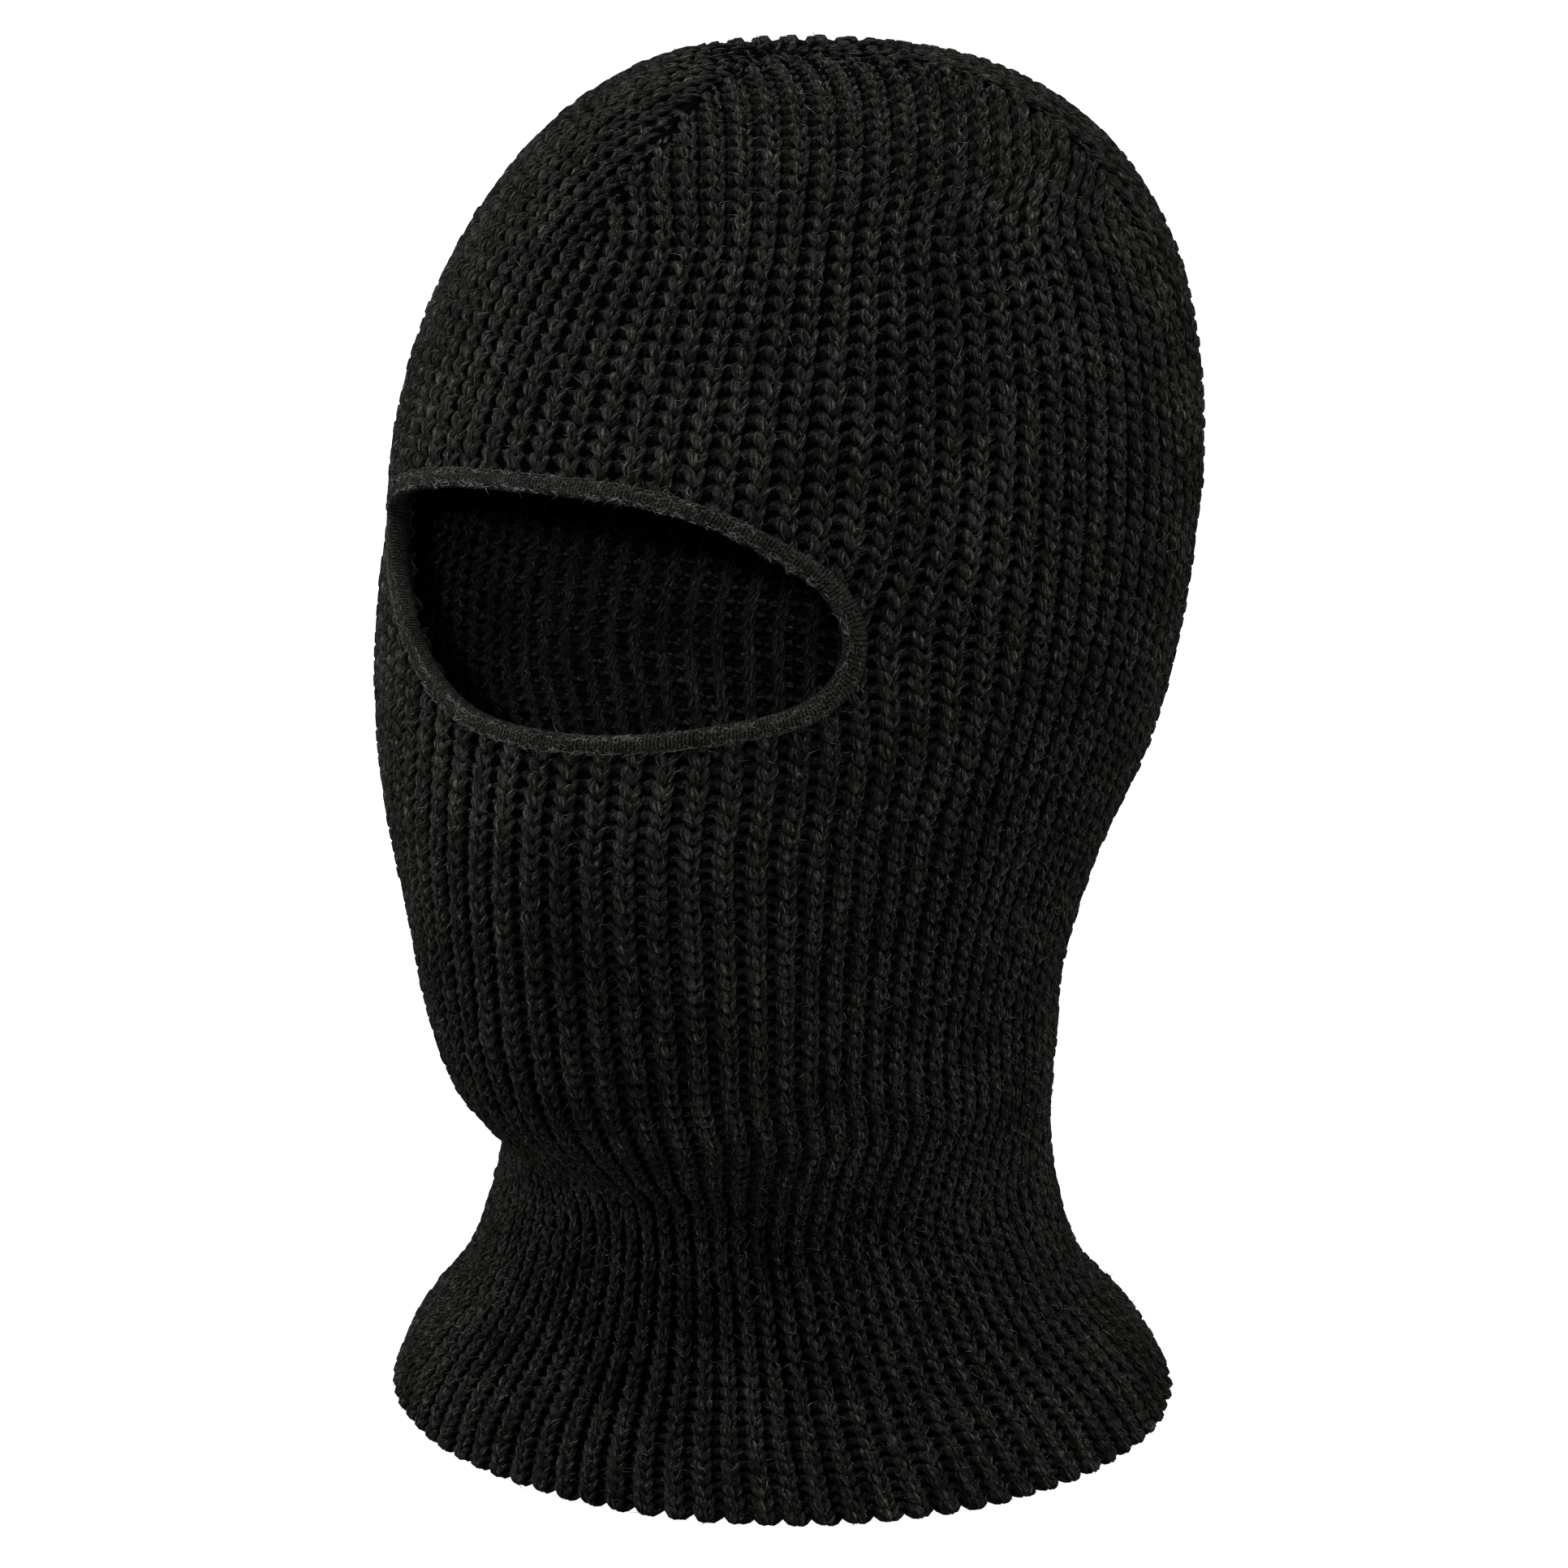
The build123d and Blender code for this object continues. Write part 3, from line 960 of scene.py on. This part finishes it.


def painted_yarn_shade(value, along, courses):
    """How much painted shade darkens the yarn at each place of its loops."""
    in_rib = value("FRACT", value("MULTIPLY_ADD", along, RIBS, 0.5 - VALLEY))
    from_valley = value("ABSOLUTE", value("SUBTRACT", in_rib, 0.5))
    # Painted shade on the outer side of the purl legs, deep in the valley.
    purl_half = (1 - KNIT_RINGS_SHARE) / 2
    purl_leg = value("COSINE", value("MULTIPLY", from_valley, 2 * pi / purl_half))
    purl_leg = value("MULTIPLY_ADD", purl_leg, -0.5, 0.5)
    on_purl = value("LESS_THAN", from_valley, purl_half)
    purl_part = value("MULTIPLY", value("MULTIPLY", purl_leg, on_purl), PURL_PAINTED_SHADE)
    side_turn = value("MULTIPLY", value("FRACT", courses), 2 * pi)
    outward = value("MULTIPLY_ADD", value("SINE", side_turn), 0.9, 0.75)
    outward = value("MINIMUM", value("MAXIMUM", outward, 0.0), 1.0)
    # Painted shade on the inner side of the knit wale, away from the valley.
    recess = value("MAXIMUM", value("SUBTRACT", from_valley, RECESS_START), 0.0)
    recess = value("MULTIPLY", recess, value("SUBTRACT", 1.0, outward))
    # Painted shade on the outer side, where the yarn dives between two courses.
    in_wale = value("FRACT", value("MULTIPLY", along, RIBS))
    leg = value("SINE", value("MULTIPLY", in_wale, 2 * pi / KNIT_RINGS_SHARE))
    dive = value("SUBTRACT", 1.0, value("MULTIPLY", leg, leg))
    on_wale = value("LESS_THAN", in_wale, KNIT_RINGS_SHARE)
    dive = value("MULTIPLY", dive, value("MULTIPLY", on_wale, DIVE_PAINTED_SHADE))
    shade = value("MULTIPLY_ADD", recess, RECESS_PAINTED_SHADE, value("MULTIPLY", purl_part, outward))
    return value("MULTIPLY_ADD", dive, outward, shade)


def yarn_material():
    """Matte black acrylic: slanting fibres that catch the light one by one, with painted shade
    on the purl legs, between two courses and deep inside."""
    nodes = Nodes("black_acrylic_yarn")
    value = nodes.value
    along, around = nodes.uv_parts()[:2]
    rings = value("MULTIPLY", along, RIBS * (KNIT_RINGS + PURL_RINGS))
    courses = value("MULTIPLY", around, COURSES)
    slant = value("MULTIPLY_ADD", courses, 13.0, value("MULTIPLY", rings, 1.15))
    fibre = nodes.combine(value("MULTIPLY", rings, 0.5), slant)
    streak = nodes.noise(fibre, 1.0, 3.0, 0.6)
    position = nodes.position()
    fuzz = nodes.noise(position, 1500.0, 3.0, 0.7)
    patch = nodes.noise(position, 60.0, 3.0, 0.5)
    mixed = value("MULTIPLY_ADD", fuzz, 0.3, value("MULTIPLY", streak, 0.7))
    mixed = value("ADD", mixed, value("MULTIPLY_ADD", patch, 0.14, -0.07))
    # The painted shade is taken off the fibre pattern before its colour ramp.
    nodes.colour(value("SUBTRACT", mixed, painted_yarn_shade(value, along, courses)), [
        (0.38, YARN_DARK),
        (0.48, YARN_MIDDLE),
        (0.57, YARN_LIGHT),
        (0.69, YARN_GLINT),
    ])
    nodes.bump(mixed, 1.0, 0.0011)
    return nodes.finish(0.93, 0.0, 0.006, 0.5)


def fibre_material():
    """Loose fibre ends, a little glossier than the yarn."""
    nodes = Nodes("loose_fibre")
    fuzz = nodes.noise(nodes.position(), 700.0, 2.0, 0.6)
    nodes.colour(fuzz, [(0.38, (0.003, 0.003, 0.0028)), (0.66, (0.040, 0.0395, 0.036))])
    nodes.bump(fuzz, 0.2, 0.0001)
    return nodes.finish(0.8, 0.03)


def core_material():
    """Felted fibre deep between the loops, coloured darker than the yarn as painted shade."""
    nodes = Nodes("felted_core_painted_shade")
    fuzz = nodes.noise(nodes.position(), 1500.0, 4.0, 0.75)
    # Painted shade: the core is darker than the yarn, so the gaps between the loops look
    # shadowed.
    nodes.colour(fuzz, [(0.40, (0.0002, 0.0002, 0.0002)), (0.75, (0.0012, 0.0012, 0.0011))])
    nodes.bump(fuzz, 0.9, 0.0006)
    return nodes.finish(0.95, 0.0)


def tape_material():
    """Fine knit tape: close slanting crosswise ribs and short fibres."""
    nodes = Nodes("black_knit_tape")
    along, around = nodes.uv_parts()[:2]
    slanted = nodes.value("MULTIPLY_ADD", around, 0.008, along)
    hatch = nodes.value("SINE", nodes.value("MULTIPLY", slanted, TAPE_HATCHES * 2 * pi))
    position = nodes.position()
    fuzz = nodes.noise(position, 2200.0, 4.0, 0.75)
    patch = nodes.noise(position, 160.0, 3.0, 0.5)
    mixed = nodes.value("ADD", fuzz, nodes.value("MULTIPLY_ADD", patch, 0.2, -0.1))
    mixed = nodes.value("MULTIPLY_ADD", hatch, 0.07, mixed)
    nodes.colour(mixed, [
        (0.36, (0.0005, 0.0005, 0.00045)),
        (0.50, (0.0021, 0.0021, 0.0019)),
        (0.70, (0.0125, 0.0123, 0.0112)),
    ])
    nodes.bump(mixed, 0.9, 0.0005)
    return nodes.finish(0.92, 0.0, 0.006, 0.5)


def thread_material(name, colour_low, colour_high, specular):
    """Twisted sewing thread."""
    nodes = Nodes(name)
    twist = nodes.noise(nodes.position(), 4200.0, 2.0, 0.6)
    nodes.colour(twist, [(0.35, colour_low), (0.65, colour_high)])
    nodes.bump(twist, 0.6, 0.0002)
    return nodes.finish(0.7, specular)


WEAVE_LINES = 15000.0  # radians of the label's weave in a metre


def label_material():
    """Blank white satin with a fine horizontal weave."""
    nodes = Nodes("blank_label_satin")
    position = nodes.position()
    height = nodes.split(position)[2]
    weave = nodes.value("SINE", nodes.value("MULTIPLY", height, WEAVE_LINES))
    stain = nodes.noise(position, 220.0, 3.0, 0.5)
    nodes.colour(stain, [(0.3, (0.52, 0.52, 0.50)), (0.7, (0.62, 0.62, 0.60))])
    nodes.bump(weave, 0.25, 0.0001)
    return nodes.finish(0.42, 0.5)


FLOOR_GLOW = 0.95


def floor_material():
    """A pale floor that glows almost as bright as the backdrop, so shadows stay faint."""
    nodes = Nodes("pale_floor")
    cloud = nodes.noise(nodes.position(), 2.0, 2.0, 0.5)
    nodes.colour(cloud, [(0.0, (0.10, 0.10, 0.10)), (1.0, (0.11, 0.11, 0.11))])
    nodes.shader.inputs["Emission Color"].default_value = (1.0, 1.0, 1.0, 1.0)
    nodes.shader.inputs["Emission Strength"].default_value = FLOOR_GLOW
    return nodes.finish(0.9, 0.0)


# ------------------------------------------------------------------ camera, light and floor

# The camera, lights and floor are placed in metres, and the lights' angles are in degrees.
VIEW_AZIMUTH = radians(30.0)
VIEW_ELEVATION = radians(16.0)
VIEW_DISTANCE = 1.309
AIM = Vector((0.0040, -0.0055, 0.1394))
LENS = 140.6
AMBIENT_LIGHT = 0.28  # of the backdrop's brightness
SNOOT_TARGET = Vector((0.002, -0.085, 0.197))
SNOOT_AZIMUTH, SNOOT_ELEVATION = 28, 17
SNOOT_CONE = 2.6
STAGE_HALF = 6.0
STAGE_DROP = 0.0002  # how far the floor lies below the hem plane


def direction(azimuth, elevation):
    """Unit vector from the hood towards a camera or light."""
    flat = cos(elevation)
    return Vector((sin(azimuth) * flat, -cos(azimuth) * flat, sin(elevation)))


def aim_at(data, target, azimuth, elevation, distance):
    """A camera or light with this data that looks at the target from a distance."""
    thing = bpy.data.objects.new(data.name, data)
    thing.location = target + direction(azimuth, elevation) * distance
    thing.rotation_euler = (target - thing.location).to_track_quat("-Z", "Y").to_euler()
    bpy.context.scene.collection.objects.link(thing)
    return thing


def add_camera():
    """The camera that stands where the photographer stood."""
    data = bpy.data.cameras.new("view_camera")
    data.lens = LENS
    data.sensor_width = 36.0
    data.clip_end = 50.0
    camera = aim_at(data, AIM, VIEW_AZIMUTH, VIEW_ELEVATION, VIEW_DISTANCE)
    bpy.context.scene.camera = camera


def add_area_light(name, azimuth, elevation, distance, size, power):
    """A square soft box that points at the hood."""
    data = bpy.data.lights.new(name, "AREA")
    data.size = size
    data.energy = power
    aim_at(data, AIM, radians(azimuth), radians(elevation), distance)


def add_snoot():
    """A narrow spot through the eye opening, onto the inside of the back."""
    data = bpy.data.lights.new("eye_snoot", "SPOT")
    data.energy = 480
    data.spot_size = radians(SNOOT_CONE)
    data.spot_blend = 0.9
    data.shadow_soft_size = 0.05
    azimuth, elevation = radians(SNOOT_AZIMUTH), radians(SNOOT_ELEVATION)
    aim_at(data, SNOOT_TARGET, azimuth, elevation, distance=1.7)


def add_stage():
    """The floor and the backdrop."""
    corners = np.array([(-1, -1, 0), (1, -1, 0), (1, 1, 0), (-1, 1, 0)]) * STAGE_HALF
    points = (corners - (0.0, 0.0, STAGE_DROP)) / MM
    floor = new_mesh("studio_floor", points, [(0, 1, 2, 3)])
    floor.data.materials.append(floor_material())
    world = bpy.data.worlds.new("studio")
    world.use_nodes = True
    tree = world.node_tree
    background = tree.nodes["Background"]
    background.inputs["Color"].default_value = (1.0, 1.0, 1.0, 1.0)
    # The backdrop is seen at full brightness but lights the hood more weakly than the lamps.
    seen = tree.nodes.new("ShaderNodeLightPath")
    strength = tree.nodes.new("ShaderNodeMapRange")
    strength.inputs["To Min"].default_value = AMBIENT_LIGHT
    tree.links.new(seen.outputs["Is Camera Ray"], strength.inputs["Value"])
    tree.links.new(strength.outputs["Result"], background.inputs["Strength"])
    bpy.context.scene.world = world
    bpy.context.scene.view_settings.view_transform = "Standard"


# --------------------------------------------------------------------------- everything


def finish_piece(piece, material, slot, *nodes):
    """Gives a piece its material and says which nodes it replaces; the slot is not used."""
    piece.data.materials.append(material)
    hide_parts(*nodes)
    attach(piece, "root")


add_camera()
add_stage()
add_area_light("front", 24, 22, 1.7, 0.5, 15)
add_area_light("top", -10, 76, 1.5, 0.8, 62)
add_area_light("left_rim", -68, 22, 1.6, 0.8, 78)
add_area_light("right_rim", 108, 20, 1.6, 0.8, 56)
add_area_light("back", 205, 28, 1.7, 0.8, 30)
add_snoot()

yarn = yarn_material()
knit, yarn_centres, yarn_normals, yarn_keep = knit_body()
finish_piece(knit, yarn, "rib_knit", "hood_panel")
finish_piece(knit_core(), core_material(), "rib_knit", "hood_panel")
outer_half = np.arange(yarn_keep.shape[1]) % (KNIT_RINGS + PURL_RINGS) < KNIT_RINGS
fuzz = fibre_material()
outer_rows = (yarn_centres, yarn_normals, yarn_keep & outer_half)
fibres = stray_fibres(
    "stray_fibres", *outer_rows, count=34000, yarn_radius=0.9, lengths=(0.9, 3.0)
)
finish_piece(fibres, fuzz, "rib_knit", "hood_panel")

finish_piece(eye_tape(), tape_material(), "binding_tape", "eye_binding")
tape_fibres = stray_fibres(
    "tape_fibres", *tape_rows(), count=3600, yarn_radius=0.42, lengths=(0.6, 2.2)
)
finish_piece(tape_fibres, fuzz, "binding_tape", "eye_binding")

binding_thread = thread_material(
    "binding_thread", (0.0012, 0.0012, 0.0011), (0.0065, 0.0065, 0.006), 0.05
)
outer_row = binding_stitches("binding_outer_stitches", edge=3.5, depth=0.15, side=1)
finish_piece(outer_row, binding_thread, "sewing_thread", "binding_outer_thread")
inner_row = binding_stitches("binding_inner_stitches", edge=3.1, depth=-4.25, side=-1)
finish_piece(inner_row, binding_thread, "sewing_thread", "binding_inner_thread")

seam_thread = thread_material(
    "overlock_thread", (0.008, 0.008, 0.0075), (0.022, 0.022, 0.020), 0.3
)
for name, turn, rise_low, node in (
    ("front_crown_overlock", SEAM_TURNS[0], SEAM_START, "front_crown_seam"),
    ("left_crown_overlock", SEAM_TURNS[1], SEAM_START, "left_crown_seam"),
    ("back_overlock", SEAM_TURNS[2], BACK_SEAM_START, "back_seam"),
    ("right_crown_overlock", SEAM_TURNS[3], SEAM_START, "right_crown_seam"),
):
    finish_piece(seam_ridge(name, turn, rise_low), seam_thread, "seam_thread", node)
finish_piece(crown_tack(), seam_thread, "seam_thread", "crown_tack")

finish_piece(care_label(), label_material(), "label_satin", "care_label")
finish_piece(label_stitches(), seam_thread, "label_thread", "label_stitch")

bpy.context.view_layer.update()
